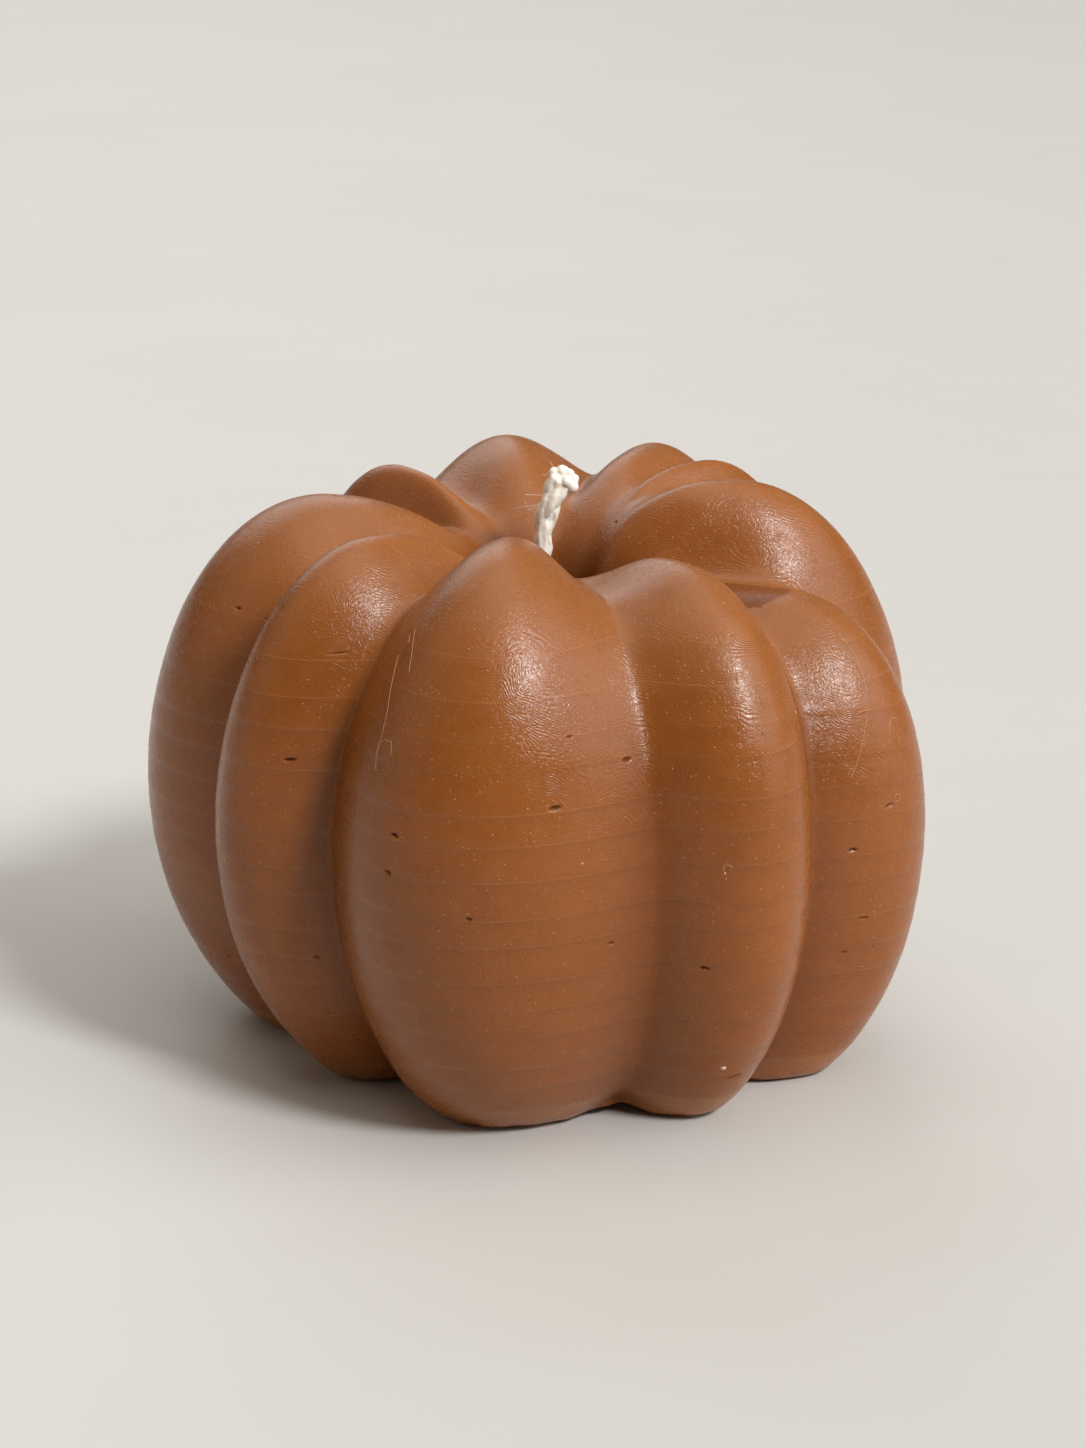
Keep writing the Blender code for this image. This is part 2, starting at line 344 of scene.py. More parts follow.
def columns_at(azimuths):
    """Meridian sizes, lean and lobe height for azimuths in degrees from the first groove."""
    widths = np.array([row[0] for row in LOBES.values()])
    leans = np.array([row[8] for row in LOBES.values()])
    roundness = np.array([row[9] for row in LOBES.values()])
    edges = np.concatenate(([0.0], np.cumsum(widths)))
    lobe = np.clip(np.searchsorted(edges, azimuths, side="right") - 1, 0, len(widths) - 1)
    following = (lobe + 1) % len(widths)
    share = (azimuths - edges[lobe]) / widths[lobe]
    mix = smoothstep(share)[:, None]
    soft = roundness[lobe] * (1.0 - mix[:, 0]) + roundness[following] * mix[:, 0]
    low = arch(2.0 * share - 1.0, soft)
    high = arch(2.0 * share - 1.0, soft + CROWN_ROUNDNESS)
    height = np.stack((low, low, high, high, low, high), axis=-1)
    grooves = groove_table()
    groove = grooves[lobe] * (1.0 - mix) + grooves[following] * mix
    sizes = groove + (crest_table()[lobe] - groove) * height
    lean = leans[lobe] * (1.0 - share) + leans[following] * share
    return sizes, lean, low


def dense_meridians(sizes):
    """Radius, height and lean share along each column's meridian, finely sampled."""
    belly, belly_z, crown, crown_z, foot, fall = sizes.T[:, :, None]
    zero = np.zeros_like(belly)

    def point(radius, height):
        return np.stack(np.broadcast_arrays(radius + zero, height + zero), axis=-1)

    spans = (
        (
            point(foot, 0.0),
            point(foot + FOOT_OUT * (belly - foot), FOOT_UP * belly_z),
            point(belly, (1.0 - BELLY_DOWN) * belly_z),
            point(belly, belly_z),
        ),
        (
            point(belly, belly_z),
            point(belly, belly_z + BELLY_UP * (crown_z - belly_z)),
            point(crown + CROWN_OUT * (belly - crown), crown_z),
            point(crown, crown_z),
        ),
        (
            point(crown, crown_z),
            point(crown - CROWN_IN * (crown - WELL_FLOOR_RADIUS), crown_z),
            point(WELL_RIM_RADIUS, crown_z - fall),
            point(WELL_FLOOR_RADIUS, WELL_FLOOR_Z),
        ),
    )
    t = np.linspace(0.0, 1.0, MERIDIAN_SAMPLES)[None, :, None]
    parts = [bezier(span, t) for span in spans]
    joined = np.concatenate([parts[0][:, :-1], parts[1][:, :-1], parts[2]], axis=1)
    lean = np.ones(joined.shape[1])
    lean[: MERIDIAN_SAMPLES - 1] = 0.0
    rise = np.linspace(0.0, 1.0, MERIDIAN_SAMPLES)[:-1]
    lean[MERIDIAN_SAMPLES - 1 : 2 * MERIDIAN_SAMPLES - 2] = smoothstep(rise)
    return joined[..., 0], joined[..., 1], lean


def line_heights():
    """Heights of the level lines, a little uneven as each pour is."""
    count = int((FLANK_TOP_Z + 16.0 - LINE_LOWEST) / LINE_STEP)
    return [LINE_LOWEST + LINE_STEP * i + LINE_SHIFT * math.sin(2.4 * i) for i in range(count)]


def flank_heights():
    """Ring heights in the flank: even, with a close pair at each level line."""
    lines = [z for z in line_heights() if z < FLANK_TOP_Z]
    stops = [0.0] + lines + [FLANK_TOP_Z]
    rings = [0.0, 0.12, 0.3]
    for low, high in zip(stops, stops[1:]):
        start = low + LINE_HALF_WIDTH if low else 0.55
        end = high - LINE_HALF_WIDTH if high < FLANK_TOP_Z else high
        count = max(2, round((end - start) / FLANK_STEP))
        last = 0 if high == FLANK_TOP_Z else 1
        rings += [start + (end - start) * i / count for i in range(count + last)]
    return np.array(rings)


def step_of_lines(height):
    """Outward step of the surface: greatest just above a line, least just below the next."""
    depth = np.full_like(height, 0.5)
    lines = line_heights()
    for low, high in zip(lines, lines[1:]):
        inside = (height > low) & (height <= high)
        depth = np.where(inside, 1.0 - (height - low) / (high - low), depth)
    return (depth - 0.5) * (1.0 - smoothstep((height - FLANK_TOP_Z + 6.0) / 6.0))


def line_wave(azimuth):
    """How far the level lines wander up and down round the casting."""
    a = np.radians(azimuth)
    return LINE_WAVE * (np.sin(2.0 * a + 0.7) + 0.5 * np.sin(7.0 * a + 2.0))


def run_together(tracks, flank):
    """Lets the lobes and grooves melt into each other past the crown, down the well."""
    reach = int(3 * MELT_COLUMNS)
    melted = np.zeros_like(tracks)
    total = 0.0
    for offset in range(-reach, reach + 1):
        weight = math.exp(-0.5 * (offset / MELT_COLUMNS) ** 2)
        melted += weight * np.roll(tracks, offset, axis=0)
        total += weight
    along = np.zeros(tracks.shape[1])
    along[flank:] = np.arange(1, tracks.shape[1] - flank + 1) / (tracks.shape[1] - flank)
    share = smoothstep((along - MELT_START) / MELT_SPAN)[None, :, None]
    return tracks * (1.0 - share) + melted / total * share


def meridian_track(azimuth, r, z, lean_share, heights):
    """Rings of one column: level ones up the flank, then even ones to the well's floor."""
    crown = int(np.argmax(z))
    wave = line_wave(azimuth) * smoothstep(heights / WAVE_FADE)
    wave *= 1.0 - smoothstep((heights - FLANK_TOP_Z + WAVE_FADE) / WAVE_FADE)
    flank_z = heights + wave
    flank_r = np.interp(flank_z, z[:crown], r[:crown])
    flank_lean = np.interp(flank_z, z[:crown], lean_share[:crown])
    split = int(np.searchsorted(z[:crown], FLANK_TOP_Z))
    start_r = np.interp(FLANK_TOP_Z, z[:crown], r[:crown])
    start_lean = np.interp(FLANK_TOP_Z, z[:crown], lean_share[:crown])
    rest_r = np.concatenate(([start_r], r[split:]))
    rest_z = np.concatenate(([FLANK_TOP_Z], z[split:]))
    rest_lean = np.concatenate(([start_lean], lean_share[split:]))
    along = np.concatenate(([0.0], np.cumsum(np.hypot(np.diff(rest_r), np.diff(rest_z)))))
    stops = np.linspace(0.0, along[-1], CROWN_RINGS + 1)[1:]
    ring_r = np.concatenate((flank_r, np.interp(stops, along, rest_r)))
    ring_z = np.concatenate((flank_z, np.interp(stops, along, rest_z)))
    ring_lean = np.concatenate((flank_lean, np.interp(stops, along, rest_lean)))
    return np.stack((ring_r, ring_z, ring_lean), axis=-1)


def foot_push(azimuth, valley, heights):
    """How far a column's flank stands out at the foot: rounded edge, lip and flanges."""
    edge = EDGE_RADIUS * np.clip(1.0 - heights / EDGE_HEIGHT, 0.0, 1.0) ** 2
    turned = math.radians(azimuth)
    drift = noise.noise(Vector((16.0 * math.cos(turned), 16.0 * math.sin(turned), 0.5)))
    wander = FOOT_WANDER * drift * (1.0 - smoothstep(heights / WANDER_HEIGHT))
    for middle, half_width, reach in FLANGES:
        near = math.exp(-(((azimuth - middle) / half_width) ** 2))
        wander += reach * near * (1.0 - smoothstep((heights - FLANGE_HEIGHT) / FLANGE_HEIGHT))
    lip = LIP_REACH * valley * (1.0 - smoothstep((heights - LIP_TOP * 0.75) / (LIP_TOP * 0.35)))
    return lip - edge + wander


def casting_grid():
    """Rings of the casting, columns by rings by 3 in millimetres, and marks for its colours."""
    turn = np.arange(COLUMNS) * 360.0 / COLUMNS
    azimuth = FIRST_GROOVE + turn
    sizes, lean, lobe = columns_at(turn)
    heights = flank_heights()
    lines = line_heights()
    flank = len(heights)
    radius, height, lean_share = dense_meridians(sizes)
    columns = zip(azimuth, radius, height)
    tracks = np.array([meridian_track(a, r, z, lean_share, heights) for a, r, z in columns])
    tracks = run_together(tracks, flank)
    rings = []
    marks = {"line": [], "drawn": [], "shade": []}
    for c in range(COLUMNS):
        ring_r, ring_z, ring_lean = tracks[c].T.copy()
        valley = (1.0 - lobe[c]) ** 2
        ring_z[:flank] += GROOVE_LIFT * valley * (1.0 - smoothstep(heights / LIFT_HEIGHT))
        ring_r[:flank] += foot_push(azimuth[c], valley, heights)
        ring_r[:flank] += LINE_DEPTH * step_of_lines(heights)
        angle = np.radians(azimuth[c] + lean[c] * ring_lean)
        rings.append(np.stack((ring_r * np.sin(angle), -ring_r * np.cos(angle), ring_z), axis=-1))
        inside = np.arange(len(ring_z)) > np.argmax(ring_z)
        # Painted shade mark: dark low in the well, and less so low in the grooves
        deep = np.where(inside, smoothstep((WELL_SHADE_Z - ring_z) / WELL_SHADE_FALL), 0.0)
        low = 1.0 - smoothstep((ring_z - GROOVE_SHADE_Z) / GROOVE_SHADE_FADE)
        level = np.concatenate((heights, ring_z[flank:]))
        fade = 1.0 - smoothstep((level - LINES_FADE_Z) / LINES_FADE)
        marks["line"].append(np.interp(level, lines, np.arange(len(lines))))
        marks["drawn"].append(np.where(inside, 0.0, fade))
        marks["shade"].append(np.maximum(deep, GROOVE_SHADE * low * (1.0 - lobe[c]) ** 3))
    return np.array(rings), {name: np.array(mark) for name, mark in marks.items()}


def grid_normals(grid):
    across = np.roll(grid, -1, axis=0) - np.roll(grid, 1, axis=0)
    along = np.gradient(grid, axis=1)
    normal = np.cross(across, along)
    return normal / np.maximum(np.linalg.norm(normal, axis=-1, keepdims=True), 1e-9)


def swell(point, size, seed):
    x, y, z = point
    return noise.noise(Vector((x / size + seed, y / size - seed, z / size + 2.0 * seed)))


def uneven(grid):
    """Pushes the casting in and out by low waves, less at its foot and in the well."""
    normal = grid_normals(grid)
    flat = grid.reshape(-1, 3)
    waves = [SWELL * swell(p, SWELL_SIZE, 3.1) + RIPPLE * swell(p, RIPPLE_SIZE, 8.7) for p in flat]
    push = np.array(waves)
    free = smoothstep(grid[..., 2] / 3.0)
    return grid + normal * (push.reshape(grid.shape[:2]) * free)[..., None]


def new_mesh_object(name, vertices, faces, material):
    data = bpy.data.meshes.new(name)
    data.from_pydata(vertices, [], faces)
    data.validate()
    if material:
        data.materials.append(material)
    data.shade_smooth()
    piece = bpy.data.objects.new(name, data)
    bpy.context.scene.collection.objects.link(piece)
    return piece


def casting_mesh(material):
    """The wax as one closed skin: underside, flank, crown, well and wax round the wick."""
    grid, marks = casting_grid()
    grid = uneven(grid)
    foot = grid[:, :1].copy()
    under = [foot * np.array((share, share, share**2)) for share in UNDERSIDE_RINGS[::-1]]
    well = grid[:, -1:].copy()
    reach = np.hypot(well[..., 0], well[..., 1])[..., None]
    climb = well / np.maximum(reach, 1e-6) * MENISCUS_RADIUS
    climb[..., 2] = well[..., 2] + MENISCUS_RISE
    half = well * 0.35 + climb * 0.65
    half[..., 2] = well[..., 2] + 0.22 * MENISCUS_RISE
    grid = np.concatenate((*under, grid, half, climb), axis=1)
    grid[..., 0] += AXIS_X
    grid[..., 1] += AXIS_Y
    columns, rings = grid.shape[:2]
    vertices = (grid.reshape(-1, 3) * MM).tolist()
    faces = []
    for c in range(columns):
        near = c * rings
        far = (c + 1) % columns * rings
        faces += [(near + r, far + r, far + r + 1, near + r + 1) for r in range(rings - 1)]
    bottom = len(vertices)
    vertices.append((AXIS_X * MM, AXIS_Y * MM, 0.0))
    top = len(vertices)
    vertices.append((AXIS_X * MM, AXIS_Y * MM, float(climb[..., 2].mean()) * MM))
    for c in range(columns):
        near = c * rings
        far = (c + 1) % columns * rings
        faces.append((far, near, bottom))
        faces.append((near + rings - 1, far + rings - 1, top))
    piece = new_mesh_object("candle_wax", vertices, faces, material)
    for name, mark in marks.items():
        # The last two values are for the middle of the underside and the middle of the well
        padded = np.pad(mark, ((0, 0), (len(UNDERSIDE_RINGS), 2)), "edge")
        layer = piece.data.attributes.new(name, "FLOAT", "POINT")
        layer.data.foreach_set("value", np.concatenate((padded.ravel(), (0.0, 1.0))))
    return piece


def surface_point(tree, azimuth, height):
    """Point and outward normal of the casting at an azimuth and height, from a ray."""
    angle = math.radians(azimuth)
    out = Vector((math.sin(angle), -math.cos(angle), 0.0))
    axis = Vector((AXIS_X * MM, AXIS_Y * MM, height * MM))
    hit, normal, _, _ = tree.ray_cast(axis + out * RAY_START * MM, -out)
    return hit, normal


def random_pits(rng):
    rows = []
    for _ in range(RANDOM_PITS):
        azimuth = float(rng.uniform(75.0, 325.0))
        lines = line_heights()
        height = lines[int(rng.integers(1, len(lines) - 1))]
        size = float(rng.uniform(0.6, 1.5))
        tilt = float(rng.normal(0.0, 6.0))
        rows.append((azimuth, height + 0.1, size, 0.3 + 0.2 * size, 0.2 + 0.15 * size, tilt))
    return rows


def refine(mesh, wanted):
    """Splits the faces for which wanted says true into a finer grid."""
    picked = [face for face in mesh.faces if wanted(face)]
    edges = {edge for face in picked for edge in face.edges}
    edges = sorted(edges, key=lambda edge: edge.index)
    bmesh.ops.subdivide_edges(mesh, edges=edges, cuts=REFINE_CUTS, use_grid_fill=True)


def pit_profile(apart):
    """Shares of a pit's depth and of its raised rim, by the distance in pit sizes."""
    sunk = float(smoothstep((1.3 - apart) / 0.75))
    rim = math.exp(-((apart - 1.55) / 0.3) ** 2)
    return sunk, rim


def mark_flaws(piece):
    """Sinks the moulding pits in a locally finer mesh, and marks them for the colours."""
    rng = np.random.default_rng(SEED)
    mesh = bmesh.new()
    mesh.from_mesh(piece.data)
    tree = BVHTree.FromBMesh(mesh)
    pits = []
    for azimuth, height, length, tall, depth, tilt in [*PITS.values(), *random_pits(rng)]:
        hit, normal = surface_point(tree, azimuth, height)
        if hit is None:
            continue
        side = Vector((0.0, 0.0, 1.0)).cross(normal).normalized()
        side = Matrix.Rotation(math.radians(tilt), 3, normal) @ side
        half_sizes = (length * MM * 0.4, tall * MM * 0.36)
        pits.append((hit, normal, side, normal.cross(side), *half_sizes, depth * MM * 0.75))
    centres = [pit[0] for pit in pits]

    def wanted(face):
        middle = face.calc_center_median()
        return any((middle - c).length < PIT_REACH * MM for c in centres)

    refine(mesh, wanted)
    mesh.normal_update()
    hollow = mesh.verts.layers.float.new("hollow")
    near_pits = [(pit, max(pit[4], pit[5]) * 2.2) for pit in pits]
    for vertex in mesh.verts:
        place = vertex.co.copy()
        for pit, reach in near_pits:
            offset = place - pit[0]
            if offset.length > reach:
                continue
            across = offset.dot(pit[2]) / pit[4]
            up = offset.dot(pit[3]) / pit[5]
            sunk, rim = pit_profile(math.hypot(across, up))
            vertex.co -= pit[1] * pit[6] * (sunk - PIT_RIM * rim)
            vertex[hollow] = max(vertex[hollow], sunk)
    mesh.to_mesh(piece.data)
    mesh.free()
    piece.data.shade_smooth()


def thread_points(tree, route):
    """Points close together along a thread's route on the casting."""
    steps = np.linspace(0.0, len(route) - 1.0, THREAD_SAMPLES)
    knots = np.arange(len(route))
    azimuths = np.interp(steps, knots, [p[0] for p in route])
    heights = np.interp(steps, knots, [p[1] for p in route])
    points = []
    for azimuth, height in zip(azimuths, heights):
        hit, _ = surface_point(tree, azimuth, height)
        if hit is not None:
            points.append(hit)
    return points


def wick_point(z):
    """Middle of the wick at a height, on a smooth curve through its route."""
    route = [Vector(p) for p in WICK_PATH]
    last = len(route) - 2
    span = 0
    while span < last and route[span + 1].z < z:
        span += 1
    a = route[span]
    b = route[span + 1]
    before = route[span - 1] if span else a
    after = route[span + 2] if span < last else b
    t = (z - a.z) / (b.z - a.z)
    slope_a = (b.x - before.x) / (b.z - before.z) * (b.z - a.z)
    slope_b = (after.x - a.x) / (after.z - a.z) * (b.z - a.z)
    x = (
        (2 * t**3 - 3 * t**2 + 1) * a.x
        + (t**3 - 2 * t**2 + t) * slope_a
        + (3 * t**2 - 2 * t**3) * b.x
        + (t**3 - t**2) * slope_b
    )
    return Vector((x, 0.0, z))


def wick_spread(z):
    """Share of the plait's plain width at a height."""
    return float(np.interp(z, [row[0] for row in WICK_TAPER], [row[1] for row in WICK_TAPER]))


def strand_route(number, bottom, top):
    turned = Matrix.Rotation(math.radians(PLAIT_TURN), 3, "Z")
    count = round((top - bottom) / STRAND_STEP)
    points = []
    spreads = []
    for i in range(count + 1):
        z = bottom + (top - bottom) * i / count
        phase = 2.0 * math.pi * ((z - top) / PLAIT_PITCH + number / 3.0 + PLAIT_PHASE)
        spread = wick_spread(z)
        across = spread * PLAIT_HALF_WIDTH * math.sin(phase)
        deep = spread * PLAIT_HALF_DEPTH * math.sin(2.0 * phase)
        points.append(wick_point(z) + turned @ Vector((across, deep, 0.0)))
        spreads.append(spread)
    return points, spreads


def sweep(points, radius_at, sides):
    """Vertices and faces of a closed tube of uneven section along points."""
    vertices = []
    up = Vector((1.0, 0.0, 0.0))
    count = len(points)
    for i, point in enumerate(points):
        ahead = points[min(i + 1, count - 1)] - points[max(i - 1, 0)]
        ahead.normalize()
        up = (up - ahead * up.dot(ahead)).normalized()
        side = ahead.cross(up)
        for s in range(sides):
            angle = 2.0 * math.pi * s / sides
            radius = radius_at(i, angle)
            vertices.append(point + (up * math.cos(angle) + side * math.sin(angle)) * radius)
    faces = []
    for i in range(count - 1):
        for s in range(sides):
            a = i * sides + s
            b = i * sides + (s + 1) % sides
            faces.append((a, b, b + sides, a + sides))
    faces.append(tuple(reversed(range(sides))))
    faces.append(tuple(range((count - 1) * sides, count * sides)))
    return vertices, faces


def lump(centre, radius):
    """Vertices and faces of a ball."""
    mesh = bmesh.new()
    bmesh.ops.create_icosphere(mesh, subdivisions=3, radius=radius)
    vertices = [vertex.co + centre for vertex in mesh.verts]
    faces = [tuple(vertex.index for vertex in face.verts) for face in mesh.faces]
    mesh.free()
    return vertices, faces


def joined_parts(parts):
    vertices = []
    faces = []
    for part_vertices, part_faces in parts:
        base = len(vertices)
        vertices += part_vertices
        faces += [tuple(base + v for v in face) for face in part_faces]
    return vertices, faces


def fused(vertices, faces):
    """One skin round overlapping closed parts, softened."""
    rough = new_mesh_object("fusing", [tuple(v) for v in vertices], faces, None)
    remesh = rough.modifiers.new("fuse", "REMESH")
    remesh.mode = "VOXEL"
    remesh.voxel_size = FUSE_VOXEL
    soften = rough.modifiers.new("soften", "SMOOTH")
    soften.factor = 0.5
    soften.iterations = FUSE_SMOOTHING
    bpy.context.view_layer.update()
    shaped = rough.evaluated_get(bpy.context.evaluated_depsgraph_get())
    mesh = bpy.data.meshes.new_from_object(shaped)
    bpy.data.objects.remove(rough)
    return mesh


def wick_mesh(material):
    """Three strands, each a bundle of twisted yarns, fused with wax, and a lumpy cut end."""
    top = WICK_PATH[-1][2]
    parts = []
    for number in range(3):
        points, spreads = strand_route(number, WELL_FLOOR_Z - 1.0, top)
        last = len(points) - 1

        def radius_at(i, angle):
            turn = YARN_TWIST * i * STRAND_STEP
            relief = YARN_RELIEF * abs(math.sin((angle + turn) * YARNS / 2.0)) - YARN_RELIEF
            dome = min((last - i) * STRAND_STEP / 0.35, 1.0)
            round_end = math.sqrt(max(1.0 - (1.0 - dome) ** 2, 0.06))
            return STRAND_RADIUS * spreads[i] * (1.0 + relief) * round_end

        parts.append(sweep(points, radius_at, STRAND_SIDES))
    core = [wick_point(z) for z in np.linspace(WICK_BOTTOM_Z, WELL_FLOOR_Z, 40)]
    parts.append(sweep(core, lambda i, angle: CORE_RADIUS, 24))
    heights = np.linspace(WELL_FLOOR_Z - 1.0, top - 0.3, 90)
    fill = [wick_point(z) for z in heights]
    parts.append(sweep(fill, lambda i, angle: FILL_RADIUS * wick_spread(heights[i]), 32))
    tip = wick_point(top)
    parts += [lump(tip + Vector(row[:3]), row[3]) for row in LUMPS]
    mesh = fused(*joined_parts(parts))
    dent = tip + Vector(HOLLOW[:3])
    shift = Vector((AXIS_X, AXIS_Y, 0.0))
    moved = []
    for vertex in mesh.vertices:
        place = vertex.co.copy()
        if place.z > WELL_FLOOR_Z:
            rough = swell(place, 0.9, 4.3) + 0.5 * swell(place, 0.4, 6.1)
            place += vertex.normal * WICK_UNEVEN * rough
        near = math.exp(-(((place - dent).length / HOLLOW[3]) ** 2))
        place += Vector((0.0, HOLLOW[4] * near, 0.0))
        moved.append((place + shift) * MM)
    faces = [tuple(face.vertices) for face in mesh.polygons]
    bpy.data.meshes.remove(mesh)
    return new_mesh_object("wick_plait", [tuple(place) for place in moved], faces, material)


def wick_fibres(material):
    """Loose cotton fibres that stand off the plait near its cut end."""
    rng = np.random.default_rng(SEED + 1)
    parts = []
    for number in range(FIBRES):
        z = float(rng.uniform(56.5, 63.0))
        angle = float(rng.uniform(0.6, 1.5)) * math.pi
        out = Vector((math.cos(angle), 0.5 * math.sin(angle), 0.0))
        start = wick_point(z) + out * 0.7
        length = float(rng.uniform(0.8, 3.6))
        bend = Vector(rng.normal(0.0, 0.35, 3).tolist())
        points = []
        for i in range(13):
            t = i / 12.0
            points.append(start + (out + Vector((0.0, 0.0, 0.1))) * length * t + bend * length * t * t)
        parts.append(sweep(points, lambda i, a: FIBRE_RADIUS, 5))
    vertices, faces = joined_parts(parts)
    shift = Vector((AXIS_X, AXIS_Y, 0.0))
    placed = [tuple((v + shift) * MM) for v in vertices]
    return new_mesh_object("wick_fibres", placed, faces, material)


def surface_tree(wax):
    mesh = bmesh.new()
    mesh.from_mesh(wax.data)
    tree = BVHTree.FromBMesh(mesh)
    mesh.free()
    return tree


def wax_threads(wax, material):
    """Hair-thin strings of wax that lie on the casting."""
    tree = surface_tree(wax)
    parts = []
    for route in THREADS.values():
        points = thread_points(tree, route)
        parts.append(sweep(points, lambda i, angle: THREAD_RADIUS * MM, 6))
    vertices, faces = joined_parts(parts)
    return new_mesh_object("wax_threads", [tuple(v) for v in vertices], faces, material)


def wax_crumbs(wax, material):
    """Pale crumbs that sit in the surface of the casting, and a bead in its well."""
    tree = surface_tree(wax)
    parts = []
    for azimuth, height, half_length, half_height, half_thickness in CRUMBS.values():
        hit, normal = surface_point(tree, azimuth, height)
        side = Vector((0.0, 0.0, 1.0)).cross(normal).normalized()
        up = normal.cross(side)
        vertices, faces = lump(Vector(), 1.0)
        shaped = []
        for v in vertices:
            v = v * (1.0 + 0.35 * swell(v, 0.9, azimuth))
            across = side * v.x * half_length + up * v.y * half_height + normal * v.z * half_thickness
            shaped.append(hit + across * MM)
        parts.append((shaped, faces))
    x, y, radius = WELL_BEAD
    above = Vector((x, y, RAY_START)) * MM
    hit, _, _, _ = tree.ray_cast(above, Vector((0.0, 0.0, -1.0)))
    vertices, faces = lump(Vector(), radius * MM)
    parts.append(([hit + v for v in vertices], faces))
    vertices, faces = joined_parts(parts)
    return new_mesh_object("wax_crumbs", [tuple(v) for v in vertices], faces, material)


class Shader:
    """Small helper that adds nodes and joins them by name."""

    def __init__(self, name):
        self.material = bpy.data.materials.new(name)
        self.material.use_nodes = True
        self.tree = self.material.node_tree
        self.main = self.tree.nodes["Principled BSDF"]
        self.place = self.tree.nodes.new("ShaderNodeTexCoord").outputs["Object"]

    def put(self, socket, value):
        if isinstance(value, bpy.types.NodeSocket):
            self.tree.links.new(value, socket)
        else:
            socket.default_value = value

    def add(self, kind, settings=None, **inputs):
        node = self.tree.nodes.new(kind)
        for key, value in (settings or {}).items():
            setattr(node, key, value)
        for key, value in inputs.items():
            self.put(node.inputs[key.replace("_", " ")], value)
        return node

    def math(self, operation, a, b=0.0, c=0.0):
        node = self.tree.nodes.new("ShaderNodeMath")
        node.operation = operation
        for socket, value in zip(node.inputs, (a, b, c)):
            self.put(socket, value)
        return node.outputs[0]

    def noise(self, scale, detail=2.0, roughness=0.5, place=None, distortion=0.0):
        node = self.add(
            "ShaderNodeTexNoise",
            Vector=place or self.place,
            Scale=scale,
            Detail=detail,
            Roughness=roughness,
            Distortion=distortion,
        )
        return node.outputs["Fac"]

    def ramp(self, value, low, high, to_low=0.0, to_high=1.0):
        node = self.add("ShaderNodeMapRange", {"interpolation_type": "SMOOTHSTEP"}, Value=value)
        node.inputs["From Min"].default_value = low
        node.inputs["From Max"].default_value = high
        node.inputs["To Min"].default_value = to_low
        node.inputs["To Max"].default_value = to_high
        return node.outputs["Result"]

    def mix(self, share, a, b):
        node = self.tree.nodes.new("ShaderNodeMix")
        node.data_type = "RGBA"
        self.put(node.inputs[0], share)
        self.put(node.inputs[6], a)
        self.put(node.inputs[7], b)
        return node.outputs[2]

    def attribute(self, name):
        return self.add("ShaderNodeAttribute", {"attribute_name": name}).outputs["Fac"]

    def bump(self, height, distance, strength=1.0, normal=None):
        node = self.add("ShaderNodeBump", Height=height, Distance=distance, Strength=strength)
        if normal is not None:
            self.put(node.inputs["Normal"], normal)
        return node.outputs["Normal"]


def scattered_dots(s, per_metre, channel, chosen, radii):
    """Share of a dot at each place: one dot in each of the chosen cells."""
    cells = s.add("ShaderNodeTexVoronoi", Vector=s.place, Scale=per_metre)
    number = s.add("ShaderNodeSeparateColor", Color=cells.outputs["Color"]).outputs[channel]
    dot = s.ramp(cells.outputs["Distance"], *radii, 1.0, 0.0)
    return s.math("MULTIPLY", dot, s.ramp(number, *chosen))


def wax_relief(s, steps, speck, hole):
    """Fine relief of the wax: whorls, wrinkles, grain, level steps, specks and pinholes."""
    drift = s.add("ShaderNodeVectorMath", {"operation": "DOT_PRODUCT"}, Vector=s.place)
    drift.inputs[1].default_value = (0.3, 0.3, 0.9)
    whorl = s.math("MULTIPLY", s.noise(230.0, 1.0, 0.4), WHORLS)
    turns = s.math("ADD", whorl, s.math("MULTIPLY", drift.outputs["Value"], RIDGES_PER_METRE))
    ridges = s.math("SINE", s.math("MULTIPLY", turns, 2.0 * math.pi))
    patches = s.ramp(s.noise(700.0, 2.0, 0.6), 0.42, 0.62)
    fingerprint = s.math("MULTIPLY", ridges, patches)
    wrinkle = s.noise(2300.0, 1.5, 0.55, None, 1.2)
    wrinkle = s.math("ABSOLUTE", s.math("SUBTRACT", wrinkle, 0.5))
    height = s.add("ShaderNodeSeparateXYZ", Vector=s.place).outputs["Z"]
    wrinkle = s.math("MULTIPLY", wrinkle, s.ramp(height, 15.0 * MM, 42.0 * MM, 0.35, 1.0))
    grain = s.noise(4200.0, 2.0, 0.6)
    relief = s.math("MULTIPLY", fingerprint, 0.7)
    for layer, weight in ((wrinkle, -5.5), (grain, 1.2), (steps, -0.4), (speck, 2.5), (hole, -6.0)):
        relief = s.math("ADD", relief, s.math("MULTIPLY", layer, weight))
    return s.bump(relief, 0.0115 * MM)


